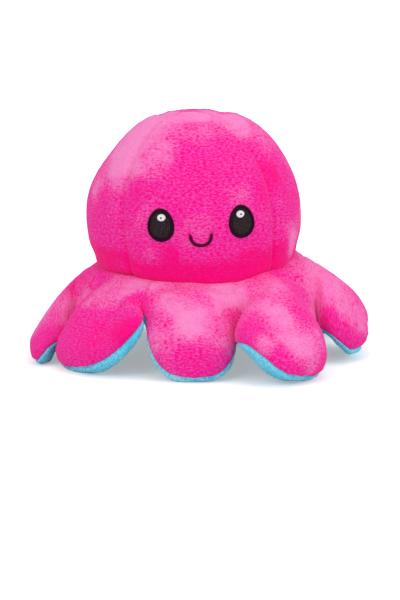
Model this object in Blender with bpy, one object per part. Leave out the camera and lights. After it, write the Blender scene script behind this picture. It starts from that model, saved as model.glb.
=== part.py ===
"""Reversible plush octopus: the pink side out, the blue side folded up inside it.

Sizes are in metres and +Z is up. The face looks along -Y, and the origin is on the floor under
the middle of the body. An azimuth is measured from the face towards +X.
"""

import math

import bmesh
import bpy
from mathutils import Vector

# Cloth, thread and the gaps at the seams
SKIN_THICKNESS = 0.0018
SEAM_GAP = 0.0003
THREAD_THICKNESS = 0.0005
SEAM_VALLEY_DEPTH = 0.0012
SEAM_VALLEY_WIDTH = 0.0065
CROWN_HOLE_RADIUS = 0.00025

# Head
HEAD_RADIUS = 0.0634
HEAD_WIDEST_HEIGHT = 0.0845
HEAD_TOP_HEIGHT = 0.1460
NECK_RADIUS = 0.0575
NECK_HEIGHT = 0.0570
CROWN_BLUNT_SHARE = 0.96

# Pocket that the blue head skin forms inside the pink head
POCKET_RADIUS = 0.0290
POCKET_WIDEST_HEIGHT = 0.0660
POCKET_TOP_HEIGHT = 0.0950
MOUTH_RADIUS = 0.0330
MOUTH_HEIGHT = 0.0460

# Skirt, a polygon of which each side carries a tentacle
SKIRT_TURN_DEG = -7.0
HINGE_RADIUS = 0.0700
HINGE_HEIGHT = 0.0490
SKIRT_UNDER_HEIGHT = 0.0205
NOTCH_THICKNESS_SHARE = 0.22
NOTCH_INSET_POWER = 1.6
UNDER_FLARE_POWER = 0.8

# Tentacle, its length measured from the fold at the skirt
TENTACLE_LENGTH = 0.0300
TENTACLE_HALF_WIDTH = 0.0272
CURL_ROOM_DEG = 11.0
FILLING_TIP_SHARE = 0.6

# Stations from the hinge to the tip: how far out and how high the top is, the same for the
# underside, the half width, and where the seam lies between the underside and the top.
TENTACLE_SHARES = (
    (0.000, 1.000, 0.000, 1.000, 1.000, 0.50),
    (0.215, 0.905, 0.285, 0.740, 0.975, 0.46),
    (0.455, 0.780, 0.385, 0.480, 0.950, 0.42),
    (0.675, 0.640, 0.475, 0.230, 0.930, 0.38),
    (0.850, 0.490, 0.565, 0.040, 0.895, 0.34),
    (0.960, 0.345, 0.650, -0.024, 0.820, 0.31),
    (1.000, 0.210, 0.730, -0.024, 0.690, 0.30),
    (0.985, 0.110, 0.800, 0.020, 0.470, 0.34),
)
TIP_SHARES = (0.975, 0.047)

# The tentacles in their order round the body, the length of each and the roll of its tip
TENTACLE_NAMES = (
    "front",
    "front_right",
    "right",
    "back_right",
    "back",
    "back_left",
    "left",
    "front_left",
)
LENGTH_SHARES = (1.00, 1.36, 1.02, 0.99, 1.00, 1.01, 1.00, 1.06)
TIP_ROLLS_DEG = (0.0, -9.0, 4.0, -3.0, 2.0, 3.0, -4.0, 9.0)

# Faces: the happy one on the pink head, the cross one on the wall of the blue pocket
EYE_HALF_WIDTH = 0.0086
EYE_HALF_HEIGHT = 0.0098
EYE_TAPER_SHARE = 0.14
EYE_SPACING = 0.0248
EYE_HEIGHT = 0.0866
GLINT_RADIUS = 0.0027
GLINT_RISE = 0.0048
MOUTH_HALF_WIDTH = 0.0063
MOUTH_DEPTH = 0.0077
MOUTH_LINE_WIDTH = 0.0017
SMILE_HEIGHT = 0.0812
CROSS_EYE_HEIGHT = 0.0680
CROSS_LID_CUT_SHARE = 0.45
CROSS_LID_SLOPE_SHARE = 0.35
FROWN_HEIGHT = 0.0600
FROWN_HALF_WIDTH = 0.0045
FROWN_DEPTH = 0.0035

# Panels and faces of the meshes
GORE_NAMES = ("front", "right", "back", "left")
GORES = len(GORE_NAMES)
TENTACLES = len(TENTACLE_NAMES)
GORE_ROWS = 9
GORE_COLUMNS = 8
LINING_ROWS = 9
SKIRT_COLUMNS = 48
SKIRT_STEPS = 3
SKIN_COLUMNS = 8
UNDER_COLUMNS = 6
EYE_CELLS = 6
GLINT_CELLS = 3
MOUTH_CELLS = 12
SHARP_EDGE_DEG = 50.0

WELD_DISTANCE = SEAM_GAP / 100

# Colour, roughness and sheen of each finish
MATERIALS = (
    ("pink", (0.956, 0.021, 0.352, 1.0), 0.85, 0.6),
    ("blue", (0.102, 0.546, 0.787, 1.0), 0.85, 0.6),
    ("black", (0.021, 0.018, 0.024, 1.0), 0.45, 0.2),
    ("white", (0.896, 0.871, 0.888, 1.0), 0.45, 0.2),
    ("burgundy", (0.081, 0.002, 0.026, 1.0), 0.55, 0.2),
    ("navy", (0.010, 0.030, 0.120, 1.0), 0.55, 0.2),
    ("fibre", (0.830, 0.830, 0.800, 1.0), 0.95, 0.0),
)


def clear_scene():
    for thing in list(bpy.data.objects):
        bpy.data.objects.remove(thing, do_unlink=True)


def make_material(name, colour, roughness, sheen):
    material = bpy.data.materials.new(name)
    material.use_nodes = True
    shader = material.node_tree.nodes["Principled BSDF"]
    shader.inputs["Base Color"].default_value = colour
    shader.inputs["Roughness"].default_value = roughness
    shader.inputs["Metallic"].default_value = 0
    shader.inputs["Sheen Weight"].default_value = sheen
    material.diffuse_color = colour
    return material


def blend(first, last, share):
    return first + (last - first) * share


def at_azimuth(radius, azimuth, height):
    return Vector((radius * math.sin(azimuth), -radius * math.cos(azimuth), height))


def add_object(name, mesh_builder, material, collection):
    """Closes and smooths the mesh, and puts it in the scene under its name."""
    bmesh.ops.remove_doubles(mesh_builder, verts=mesh_builder.verts, dist=WELD_DISTANCE)
    bmesh.ops.holes_fill(mesh_builder, edges=mesh_builder.edges, sides=0)
    bmesh.ops.recalc_face_normals(mesh_builder, faces=mesh_builder.faces)
    mesh = bpy.data.meshes.new(name)
    mesh_builder.to_mesh(mesh)
    mesh_builder.free()
    mesh.shade_smooth()
    mesh.set_sharp_from_angle(angle=math.radians(SHARP_EDGE_DEG))
    mesh.materials.append(material)
    made = bpy.data.objects.new(name, mesh)
    collection.objects.link(made)
    return made


def unit_grid(columns, rows):
    """A flat grid that runs from 0 to 1 both ways, for a place function to bend."""
    builder = bmesh.new()
    lines = [
        [builder.verts.new((column / columns, row / rows, 0)) for column in range(columns + 1)]
        for row in range(rows + 1)
    ]
    for line, above in zip(lines, lines[1:]):
        for column in range(columns):
            after = column + 1
            builder.faces.new((line[column], line[after], above[after], above[column]))
    return builder


def panel(columns, rows, place, thickness):
    """A piece of cloth: a grid with a thickness, bent to place(across, along, depth)."""
    builder = unit_grid(columns, rows)
    bmesh.ops.triangulate(builder, faces=builder.faces, quad_method="FIXED")
    sheet = builder.faces[:] + builder.edges[:]
    lifted = bmesh.ops.extrude_face_region(builder, geom=sheet, use_keep_orig=True)
    for item in lifted["geom"]:
        if isinstance(item, bmesh.types.BMVert):
            item.co.z = 1
    for vertex in builder.verts:
        across, along, layer = vertex.co
        vertex.co = place(across, along, layer * thickness)
    return builder


def closed_form(columns, rows, place):
    """A stuffed form: a grid wrapped right round itself, split like the cloth that covers it."""
    builder = unit_grid(columns, rows)
    bmesh.ops.triangulate(builder, faces=builder.faces, quad_method="FIXED")
    for vertex in builder.verts:
        across, along, _ = vertex.co
        vertex.co = place(across, along)
    return builder


# Head

def head_arc_share():
    """How much of the way from the crown to the neck lies above the widest ring."""
    upper = HEAD_RADIUS * math.pi / 2
    return upper / (upper + HEAD_WIDEST_HEIGHT - NECK_HEIGHT)


def head_profile(share, depth):
    """Radius and height from the crown (0) to the neck (1), at a depth under the pile."""
    upper_share = head_arc_share()
    if share <= upper_share:
        angle = share / upper_share * math.pi / 2
        rise = HEAD_TOP_HEIGHT - HEAD_WIDEST_HEIGHT - depth
        swell = math.sin(angle) ** CROWN_BLUNT_SHARE
        return (HEAD_RADIUS - depth) * swell, HEAD_WIDEST_HEIGHT + rise * max(math.cos(angle), 0)
    drop = (share - upper_share) / (1 - upper_share)
    radius = HEAD_RADIUS - depth - (HEAD_RADIUS - NECK_RADIUS) * drop**2
    return radius, blend(HEAD_WIDEST_HEIGHT, NECK_HEIGHT + SEAM_GAP / 2, drop)


def seam_valley(azimuth, radius):
    """How far the seams between the panels pull the head in."""
    gore = math.tau / GORES
    turn = (azimuth + gore / 2) % gore
    distance = radius * min(turn, gore - turn)
    pull = math.exp(-((distance / SEAM_VALLEY_WIDTH) ** 2))
    return SEAM_VALLEY_DEPTH * pull * radius / HEAD_RADIUS


def head_point(azimuth, share, depth):
    radius, height = head_profile(share, depth)
    return at_azimuth(radius - seam_valley(azimuth, radius), azimuth, height)


def gore_azimuth(index, across, radius):
    """Azimuth across one panel, whose straight edges stay half a gap from the seam."""
    half = math.pi / GORES - math.asin(SEAM_GAP / 2 / radius)
    return index * math.tau / GORES + blend(-half, half, across)


def make_gore(name, index, rows, surface, material, collection):
    """One of the panels that meet at the top; surface(azimuth, share, depth) is a point of it."""

    def place(across, along, depth):
        top = surface(index * math.tau / GORES, along, depth)
        radius = math.hypot(top.x, top.y)
        if radius < CROWN_HOLE_RADIUS:
            return at_azimuth(CROWN_HOLE_RADIUS, index * math.tau / GORES, top.z)
        return surface(gore_azimuth(index, across, radius), along, depth)

    return add_object(name, panel(GORE_COLUMNS, rows, place, SKIN_THICKNESS), material, collection)


# Pocket of the blue head skin

def pocket_arc():
    """Lengths of the pocket's dome and of its wall below that."""
    return POCKET_RADIUS * math.pi / 2, POCKET_WIDEST_HEIGHT - MOUTH_HEIGHT


def pocket_profile(share, depth):
    """Radius and height from the top (0) to the mouth (1), at a depth behind the pile."""
    dome, wall = pocket_arc()
    upper_share = dome / (dome + wall)
    if share <= upper_share:
        angle = share / upper_share * math.pi / 2
        rise = POCKET_TOP_HEIGHT - POCKET_WIDEST_HEIGHT + depth
        height = POCKET_WIDEST_HEIGHT + rise * max(math.cos(angle), 0)
        return (POCKET_RADIUS + depth) * math.sin(angle), height
    drop = (share - upper_share) / (1 - upper_share)
    radius = POCKET_RADIUS + depth + (MOUTH_RADIUS - POCKET_RADIUS) * drop**2
    return radius, blend(POCKET_WIDEST_HEIGHT, MOUTH_HEIGHT, drop)


def pocket_point(azimuth, share, depth):
    radius, height = pocket_profile(share, depth)
    return at_azimuth(radius, azimuth, height)


def wall_share_at(height):
    """The share from top to mouth at which the pocket's wall has this height."""
    dome, wall = pocket_arc()
    return (dome + POCKET_WIDEST_HEIGHT - height) / (dome + wall)


def make_head_filling(material, collection):
    """Fibre from the crown down the outside, in across the neck and up over the pocket."""
    depth = SKIN_THICKNESS + SEAM_GAP
    neck_share = wall_share_at(NECK_HEIGHT + SEAM_GAP / 2)
    steps = [row / LINING_ROWS for row in range(LINING_ROWS)]
    inner_shares = [neck_share] + [share for share in reversed(steps) if share < neck_share]
    rows = GORE_ROWS + len(inner_shares)

    def place(across, along):
        azimuth = across * math.tau - math.pi / GORES
        row = round(along * rows)
        if row <= GORE_ROWS:
            return head_point(azimuth, row / GORE_ROWS, depth)
        return pocket_point(azimuth, inner_shares[row - GORE_ROWS - 1], depth)

    builder = closed_form(GORES * GORE_COLUMNS, rows, place)
    return add_object("head_filling", builder, material, collection)


# Skirt

def skirt_edge(azimuth):
    """Radius, top height and underside height of the skirt's outer edge."""
    side = math.tau / TENTACLES
    turn = (azimuth - math.radians(SKIRT_TURN_DEG) + side / 2) % side - side / 2
    flat = HINGE_RADIUS - SEAM_GAP / 2
    offset_share = math.tan(turn) / math.tan(side / 2)
    swell = math.sqrt(1 - (1 - NOTCH_THICKNESS_SHARE**2) * offset_share**2)
    middle = (HINGE_HEIGHT + SKIRT_UNDER_HEIGHT) / 2
    half = (HINGE_HEIGHT - SKIRT_UNDER_HEIGHT) / 2 * swell
    return flat / math.cos(turn), middle + half, middle - half


def slope_stretch(run, rise):
    """How much thicker a slanting cloth is when it is measured upright."""
    return math.hypot(run, rise) / run


def skirt_top(azimuth, share, depth):
    """Radius and height on the upper surface, from the neck (0) to the edge (1)."""
    edge_radius, edge_top, _ = skirt_edge(azimuth)
    start = NECK_HEIGHT - SEAM_GAP / 2
    valley = (HINGE_HEIGHT - edge_top) * share**NOTCH_INSET_POWER
    stretch = slope_stretch(HINGE_RADIUS - NECK_RADIUS, start - HINGE_HEIGHT)
    height = blend(start, HINGE_HEIGHT, share) - valley - depth * stretch
    return blend(NECK_RADIUS, edge_radius, share), height


def skirt_under(azimuth, share, depth):
    """Radius and height on the underside, from the pocket's mouth (0) to the edge (1)."""
    edge_radius, _, edge_under = skirt_edge(azimuth)
    start = MOUTH_RADIUS + SKIN_THICKNESS + SEAM_GAP
    hollow = (edge_under - SKIRT_UNDER_HEIGHT) * share**NOTCH_INSET_POWER
    stretch = slope_stretch(HINGE_RADIUS - start, MOUTH_HEIGHT - SKIRT_UNDER_HEIGHT)
    flare = blend(MOUTH_HEIGHT, SKIRT_UNDER_HEIGHT, share**UNDER_FLARE_POWER)
    return blend(start, edge_radius, share), flare + hollow + depth * stretch


def make_ring(name, section, material, collection):
    """A closed ring from section(azimuth), the radius and height of each point round it."""
    count = len(section(0))
    builder = unit_grid(SKIRT_COLUMNS, count)
    for vertex in builder.verts:
        across, along, _ = vertex.co
        azimuth = math.radians(SKIRT_TURN_DEG) + across * math.tau
        radius, height = section(azimuth)[round(along * count) % count]
        vertex.co = at_azimuth(radius, azimuth, height)
    bmesh.ops.triangulate(builder, faces=builder.faces, quad_method="SHORT_EDGE")
    return add_object(name, builder, material, collection)


def skirt_shares():
    return [step / SKIRT_STEPS for step in range(SKIRT_STEPS + 1)]


def make_skirt_skin(name, surface, material, collection):
    def section(azimuth):
        outside = [surface(azimuth, share, 0) for share in skirt_shares()]
        inside = [surface(azimuth, share, SKIN_THICKNESS) for share in skirt_shares()]
        return outside + inside[::-1]

    return make_ring(name, section, material, collection)


def make_skirt_filling(material, collection):
    depth = SKIN_THICKNESS + SEAM_GAP
    top = NECK_HEIGHT - SEAM_GAP / 2
    shoulder = NECK_RADIUS - SEAM_GAP
    neck_wall = pocket_profile(wall_share_at(top), depth)[0]

    def section(azimuth):
        upper = [skirt_top(azimuth, share, depth) for share in skirt_shares()]
        under = [skirt_under(azimuth, share, depth) for share in skirt_shares()]
        below_shoulder = (shoulder, upper[0][1])
        return [(neck_wall, top), (shoulder, top), below_shoulder] + upper[1:] + under[::-1]

    return make_ring("skirt_filling", section, material, collection)


# Tentacles

def tentacle_azimuth(index):
    return math.radians(SKIRT_TURN_DEG) + index * math.tau / TENTACLES


def station(row, reach):
    """Top, seam and underside of one station, each as distance out and height, and half width."""
    top_out, top_up, under_out, under_up, width, seam = TENTACLE_SHARES[row]
    length = TENTACLE_LENGTH * reach
    root = HINGE_RADIUS + SEAM_GAP / 2
    top = Vector((root + length * top_out, HINGE_HEIGHT * top_up))
    under = Vector((root + length * under_out, SKIRT_UNDER_HEIGHT * under_up))
    if row == 0:
        room = math.tan(math.radians(CURL_ROOM_DEG))
        under.x += (HINGE_HEIGHT - SKIRT_UNDER_HEIGHT) * room
    return top, under.lerp(top, seam), under, TENTACLE_HALF_WIDTH * width


def tentacle_point(row, reach, roll, angle, side, depth, gap):
    """A point of one station, in distance sideways, distance out and height.

    The angle runs over one side of the seam, 1 for the upper side and -1 for the underside. The
    station is rolled about the seam's middle and lifted, so that its lowest point stays as low.
    """
    top, seam, under, width = station(row, reach)
    turn = math.radians(roll) * (row / len(TENTACLE_SHARES)) ** 2
    upright = (top - under).normalized()
    straight_lift = Vector((0, upright.x, upright.y))
    lift = straight_lift * math.cos(turn) - Vector((math.sin(turn), 0, 0))
    sideways = straight_lift * math.sin(turn) + Vector((math.cos(turn), 0, 0))
    below = (seam - under).length
    raised = math.hypot(width * math.sin(turn), below * math.cos(turn)) - below * math.cos(turn)
    height = (top - seam).length if side > 0 else below
    middle = Vector((0, seam.x, seam.y + raised)) + lift * side * gap / 2
    across = sideways * (width - depth) * math.cos(angle)
    return middle + across + lift * side * (height - gap / 2 - depth) * math.sin(angle)


def tip_point(reach, roll, side, depth, gap):
    """The point where the cloth of one side closes at the tip."""
    last = len(TENTACLE_SHARES) - 1
    seam = station(last, reach)[1]
    edges = [tentacle_point(last, reach, roll, angle, 0, 0, 0) for angle in (0, math.pi)]
    raised = (edges[0] + edges[1]) / 2 - Vector((0, seam.x, seam.y))
    out, up = TIP_SHARES
    tip = Vector((0, HINGE_RADIUS + TENTACLE_LENGTH * reach * out - depth, HINGE_HEIGHT * up))
    return tip + raised + Vector((0, 0, side * gap / 2))


def to_world(local, azimuth):
    """Turns distance sideways, distance out and height into the toy's X, Y and Z."""
    sideways = Vector((math.cos(azimuth), math.sin(azimuth), 0))
    return sideways * local.x + at_azimuth(local.y, azimuth, local.z)


def cut_foot(builder):
    """Cuts the underside flat where it stands on the floor."""
    geometry = builder.verts[:] + builder.edges[:] + builder.faces[:]
    floor = Vector((0, 0, 0))
    down = Vector((0, 0, -1))
    bmesh.ops.bisect_plane(builder, geom=geometry, plane_co=floor, plane_no=down, clear_outer=True)


def make_tentacle_skin(name, index, side, columns, material, collection):
    """The cloth of the upper side (1) or of the underside (-1)."""
    reach = LENGTH_SHARES[index]
    roll = TIP_ROLLS_DEG[index]
    rows = len(TENTACLE_SHARES)

    def place(across, along, depth):
        row = round(along * rows)
        if row == rows:
            local = tip_point(reach, roll, side, depth, SEAM_GAP)
        else:
            angle = (across if side > 0 else 1 - across) * math.pi
            local = tentacle_point(row, reach, roll, angle, side, depth, SEAM_GAP)
        return to_world(local, tentacle_azimuth(index))

    builder = panel(columns, rows, place, SKIN_THICKNESS)
    cut_foot(builder)
    return add_object(name, builder, material, collection)


def make_tentacle_filling(name, index, material, collection):
    """Fibre that fills the skins, closed by the hinge plane and by a point short of the tip."""
    reach = LENGTH_SHARES[index]
    roll = TIP_ROLLS_DEG[index]
    depth = SKIN_THICKNESS + SEAM_GAP
    columns = SKIN_COLUMNS + UNDER_COLUMNS
    last = len(TENTACLE_SHARES) - 1

    def ring_point(row, across):
        column = round(across * columns)
        if column <= SKIN_COLUMNS:
            angle = column / SKIN_COLUMNS * math.pi
            return tentacle_point(row, reach, roll, angle, 1, depth, 0)
        angle = (columns - column) / UNDER_COLUMNS * math.pi
        return tentacle_point(row, reach, roll, angle, -1, depth, 0)

    def place(across, along):
        row = round(along * last)
        if row < last:
            return to_world(ring_point(row, across), tentacle_azimuth(index))
        before = tentacle_point(last - 1, reach, roll, math.pi / 2, 0, 0, 0)
        middle = tentacle_point(last, reach, roll, math.pi / 2, 0, 0, 0)
        return to_world(before.lerp(middle, FILLING_TIP_SHARE), tentacle_azimuth(index))

    return add_object(name, closed_form(columns, last, place), material, collection)


def make_tentacle(index, materials, collection):
    """Three pieces on an empty at the fold where the tentacle leaves the skirt."""
    start = "tentacle_" + TENTACLE_NAMES[index]
    fold = bpy.data.objects.new(start + "_fold", None)
    fold.location = at_azimuth(HINGE_RADIUS, tentacle_azimuth(index), HINGE_HEIGHT)
    fold.rotation_euler.z = tentacle_azimuth(index)
    fold.empty_display_size = TENTACLE_HALF_WIDTH
    collection.objects.link(fold)
    bpy.context.view_layer.update()
    pieces = (
        make_tentacle_skin(
            start + "_upper_skin", index, 1, SKIN_COLUMNS, materials["pink"], collection
        ),
        make_tentacle_skin(
            start + "_under_skin", index, -1, UNDER_COLUMNS, materials["blue"], collection
        ),
        make_tentacle_filling(start + "_filling", index, materials["fibre"], collection),
    )
    for piece in pieces:
        piece.parent = fold
        piece.matrix_parent_inverse = fold.matrix_world.inverted()


# Stitched faces

def disc(across, along):
    """Bends a square from 0 to 1 into a unit disc."""
    x = blend(-1, 1, across)
    y = blend(-1, 1, along)
    return x * math.sqrt(1 - y**2 / 2), y * math.sqrt(1 - x**2 / 2)


def head_cloth(sideways, height, layer):
    """A point that lies this far out on the head's front, by distance round it from the middle."""
    low, high = 0.0, 1.0
    while high - low > WELD_DISTANCE:
        share = (low + high) / 2
        if head_profile(share, 0)[1] > height:
            low = share
        else:
            high = share
    radius, _ = head_profile(low, 0)
    azimuth = sideways / radius
    return at_azimuth(radius - seam_valley(azimuth, radius) + layer, azimuth, height)


def pocket_cloth(sideways, height, layer):
    """A point that lies this far in on the pocket's front wall, clear of the flats of its mesh."""
    if height < POCKET_WIDEST_HEIGHT:
        drop = (POCKET_WIDEST_HEIGHT - height) / (POCKET_WIDEST_HEIGHT - MOUTH_HEIGHT)
        radius = POCKET_RADIUS + (MOUTH_RADIUS - POCKET_RADIUS) * drop**2
    else:
        rise = (height - POCKET_WIDEST_HEIGHT) / (POCKET_TOP_HEIGHT - POCKET_WIDEST_HEIGHT)
        radius = POCKET_RADIUS * math.sqrt(1 - rise**2)
    column_flat = POCKET_RADIUS * (1 - math.cos(math.pi / (GORES * GORE_COLUMNS)))
    row_turn = sum(pocket_arc()) / LINING_ROWS / POCKET_RADIUS
    row_flat = POCKET_RADIUS * (1 - math.cos(row_turn / 2))
    return at_azimuth(radius - column_flat - row_flat - layer, sideways / POCKET_RADIUS, height)


def make_patch(name, cells, cloth, outline, under, material, collection):
    """Stitching: outline(across, along) gives each point's place on the cloth it covers."""

    def place(across, along, depth):
        sideways, height = outline(across, along)
        return cloth(sideways, height, SEAM_GAP + under + depth)

    return add_object(name, panel(*cells, place, THREAD_THICKNESS), material, collection)


def make_eye(names, side, height, cross, cloth, materials, collection):
    """An egg, narrower at its top, with its highlight; a cross eye's lid slants to the middle."""

    def egg(across, along):
        x, y = disc(across, along)
        lid = 1.0
        if cross and y > 0:
            lid -= CROSS_LID_CUT_SHARE - CROSS_LID_SLOPE_SHARE * x * side
        width = EYE_HALF_WIDTH * (1 - EYE_TAPER_SHARE * y)
        return side * EYE_SPACING + x * width, height + y * EYE_HALF_HEIGHT * lid

    def dot(across, along):
        x, y = disc(across, along)
        rise = 0 if cross else GLINT_RISE
        return side * EYE_SPACING + x * GLINT_RADIUS, height + rise + y * GLINT_RADIUS

    cells = (EYE_CELLS, EYE_CELLS)
    make_patch(names[0], cells, cloth, egg, 0, materials["black"], collection)
    cells = (GLINT_CELLS, GLINT_CELLS)
    above = THREAD_THICKNESS + SEAM_GAP
    make_patch(names[1], cells, cloth, dot, above, materials["white"], collection)


def make_mouth(name, sizes, cloth, material, collection):
    """A stitched arc, from its ends' height: it hangs for a smile and stands for a frown."""
    half_width, depth, height = sizes

    def arc(across, along):
        angle = along * math.pi
        offset = (across - 0.5) * MOUTH_LINE_WIDTH
        rise = (abs(depth) + offset) * math.sin(angle)
        return (half_width + offset) * math.cos(angle), height + math.copysign(rise, depth)

    make_patch(name, (1, MOUTH_CELLS), cloth, arc, 0, material, collection)


def make_faces(materials, collection):
    for word, side in (("left", -1), ("right", 1)):
        names = ("eye_" + word, "eye_" + word + "_highlight")
        make_eye(names, side, EYE_HEIGHT, False, head_cloth, materials, collection)
        names = ("cross_eye_" + word, "cross_eye_" + word + "_highlight")
        make_eye(names, side, CROSS_EYE_HEIGHT, True, pocket_cloth, materials, collection)
    smile = (MOUTH_HALF_WIDTH, -MOUTH_DEPTH, SMILE_HEIGHT)
    make_mouth("smile", smile, head_cloth, materials["burgundy"], collection)
    frown = (FROWN_HALF_WIDTH, FROWN_DEPTH, FROWN_HEIGHT)
    make_mouth("frown", frown, pocket_cloth, materials["navy"], collection)


def main():
    clear_scene()
    collection = bpy.data.collections.new("plush_octopus")
    bpy.context.scene.collection.children.link(collection)
    materials = {
        name: make_material(name, colour, roughness, sheen)
        for name, colour, roughness, sheen in MATERIALS
    }
    for index, word in enumerate(GORE_NAMES):
        name = "head_" + word + "_panel"
        make_gore(name, index, GORE_ROWS, head_point, materials["pink"], collection)
        name = "pocket_" + word + "_panel"
        make_gore(name, index, LINING_ROWS, pocket_point, materials["blue"], collection)
    make_head_filling(materials["fibre"], collection)
    make_skirt_skin("skirt_upper_skin", skirt_top, materials["pink"], collection)
    make_skirt_skin("skirt_under_skin", skirt_under, materials["blue"], collection)
    make_skirt_filling(materials["fibre"], collection)
    for index in range(TENTACLES):
        make_tentacle(index, materials, collection)
    make_faces(materials, collection)


main()
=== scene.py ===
import math

import bmesh
import bpy
import numpy as np
from mathutils import Matrix, Vector
from mathutils.bvhtree import BVHTree


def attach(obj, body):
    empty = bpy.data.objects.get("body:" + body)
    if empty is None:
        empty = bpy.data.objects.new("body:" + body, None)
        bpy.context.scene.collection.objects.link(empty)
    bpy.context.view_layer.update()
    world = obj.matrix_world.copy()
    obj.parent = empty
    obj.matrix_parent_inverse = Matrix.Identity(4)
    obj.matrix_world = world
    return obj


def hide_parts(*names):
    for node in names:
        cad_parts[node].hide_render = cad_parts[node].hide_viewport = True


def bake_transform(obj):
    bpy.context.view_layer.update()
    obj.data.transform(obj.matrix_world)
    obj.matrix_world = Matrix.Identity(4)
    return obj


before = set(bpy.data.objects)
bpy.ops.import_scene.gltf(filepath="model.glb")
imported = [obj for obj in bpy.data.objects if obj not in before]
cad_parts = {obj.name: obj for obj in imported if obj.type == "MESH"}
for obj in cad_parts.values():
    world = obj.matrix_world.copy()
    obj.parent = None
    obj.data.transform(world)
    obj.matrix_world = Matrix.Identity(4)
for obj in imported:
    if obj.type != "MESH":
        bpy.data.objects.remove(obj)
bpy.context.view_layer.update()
toyBody = "toy_body"
print("frame loaded,", len(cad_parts), "nodes")


def addObject(name, data):
    item = bpy.data.objects.new(name, data)
    bpy.context.scene.collection.objects.link(item)
    return item


# the photograph's view
cameraView = {
    "azimuth": math.radians(-4.4),
    "elevation": math.radians(10),
    "distance": 2.0,
    "fieldHeight": 0.3588,
    "aimRight": 0.0037,
    "aimUp": 0.0308,
    "sensorHeight": 24.0,
    "farthest": 20.0,
}


def makeCamera():
    view = cameraView
    level = math.cos(view["elevation"])
    right = Vector((math.cos(view["azimuth"]), math.sin(view["azimuth"]), 0))
    toward = Vector((right.y * level, -right.x * level, math.sin(view["elevation"])))
    up = toward.cross(right)
    data = bpy.data.cameras.new("camera")
    data.sensor_fit = "VERTICAL"
    data.sensor_height = view["sensorHeight"]
    data.lens = view["sensorHeight"] * view["distance"] / view["fieldHeight"]
    data.clip_end = view["farthest"]
    camera = addObject("camera", data)
    camera.matrix_world = Matrix((right, up, toward)).transposed().to_4x4()
    camera.location = right * view["aimRight"] + up * view["aimUp"] + toward * view["distance"]
    bpy.context.scene.camera = camera


makeCamera()
print("camera placed")


# smooth noise from a seeded lattice, the same on each run
lattice = np.random.RandomState(11).uniform(-1, 1, (24, 24, 24))


def softNoise(points, lumpSize, shift=0.0):
    place = points / lumpSize + shift
    cell = np.floor(place).astype(int)
    part = place - cell
    part = part * part * (3 - 2 * part)
    total = np.zeros(points.shape[:-1])
    for corner in np.ndindex(2, 2, 2):
        index = (cell + np.array(corner)) % len(lattice)
        share = np.where(np.array(corner, bool), part, 1 - part).prod(axis=-1)
        total += lattice[index[..., 0], index[..., 1], index[..., 2]] * share
    return total


def mix(first, last, share):
    return first + (last - first) * share


def atAzimuth(radius, azimuth, height):
    radius, azimuth, height = np.broadcast_arrays(radius, azimuth, height)
    return np.stack([radius * np.sin(azimuth), -radius * np.cos(azimuth), height], axis=-1)


def runLengths(points, axis):
    step = np.linalg.norm(np.diff(points, axis=axis), axis=-1)
    start = np.zeros_like(np.take(step, [0], axis=axis))
    return np.concatenate([start, np.cumsum(step, axis=axis)], axis=axis)


# smaller lengths and areas count as none
noLength = 1e-9
noArea = 1e-12


def gridNormals(points):
    normal = np.cross(np.gradient(points, axis=0), np.gradient(points, axis=1))
    size = np.linalg.norm(normal, axis=-1, keepdims=True)
    normal = normal / np.maximum(size, noArea)
    for row, beside in ((0, 1), (-1, -2)):
        if size[row].max() < noLength:  # a row drawn together to a point
            middle = normal[beside].mean(axis=0)
            normal[row] = middle / np.linalg.norm(middle)
    return normal


def gridFaces(grid, outside):
    index = np.arange(grid.shape[0] * grid.shape[1]).reshape(grid.shape[:2])
    corners = [index[:-1, :-1], index[1:, :-1], index[1:, 1:], index[:-1, 1:]]
    return np.stack(corners, axis=-1).reshape(-1, 4)[:, ::outside]


# the faces of grids of one size whose points stand in one list
def ringFaces(grids, outside):
    size = grids[0].shape[0] * grids[0].shape[1]
    return np.concatenate([gridFaces(grid, outside) + place * size
                           for place, grid in enumerate(grids)])


def knotSteps(knots):
    return np.linalg.norm(np.diff(knots, axis=0), axis=-1).mean(axis=1)


# a smooth way from start to end that leaves and arrives with the given slopes
def smoothStep(share, start, end, leave, arrive):
    way = (1 + 2 * share) * (1 - share) ** 2 * start + share**2 * (3 - 2 * share) * end
    return way + share * (1 - share) ** 2 * leave + share**2 * (share - 1) * arrive


# rows of points through the knots: firstRows up to the knot at turn, and rows on from there
def smoothRows(knots, step, turn, firstRows, rows):
    stops = np.concatenate([[0], np.cumsum(step)])
    slope = np.diff(knots, axis=0) / step[:, None, None]
    tangent = np.empty_like(knots)
    tangent[0] = slope[0]
    tangent[-1] = slope[-1]
    before = step[:-1, None, None]
    after = step[1:, None, None]
    tangent[1:-1] = (slope[:-1] * after + slope[1:] * before) / (before + after)
    first = np.linspace(0, stops[turn], firstRows + 1)
    place = np.concatenate([first, np.linspace(stops[turn], stops[-1], rows + 1)[1:]])
    span = np.clip(np.searchsorted(stops, place, side="right") - 1, 0, len(step) - 1)
    share = ((place - stops[span]) / step[span])[:, None, None]
    width = step[span][:, None, None]
    return smoothStep(share, knots[span], knots[span + 1], width * tangent[span],
                      width * tangent[span + 1])


# values at some rows or columns spread smoothly over those between them, step to each span
def spread(values, step, axis):
    values = np.moveaxis(values, axis, 0)
    slope = np.gradient(values, axis=0)
    place = np.arange((len(values) - 1) * step + 1) / step
    span = np.minimum(place.astype(int), len(values) - 2)
    share = (place - span).reshape(-1, *[1] * (values.ndim - 1))
    smooth = smoothStep(share, values[span], values[span + 1], slope[span], slope[span + 1])
    return np.moveaxis(smooth, 0, axis)


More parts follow.
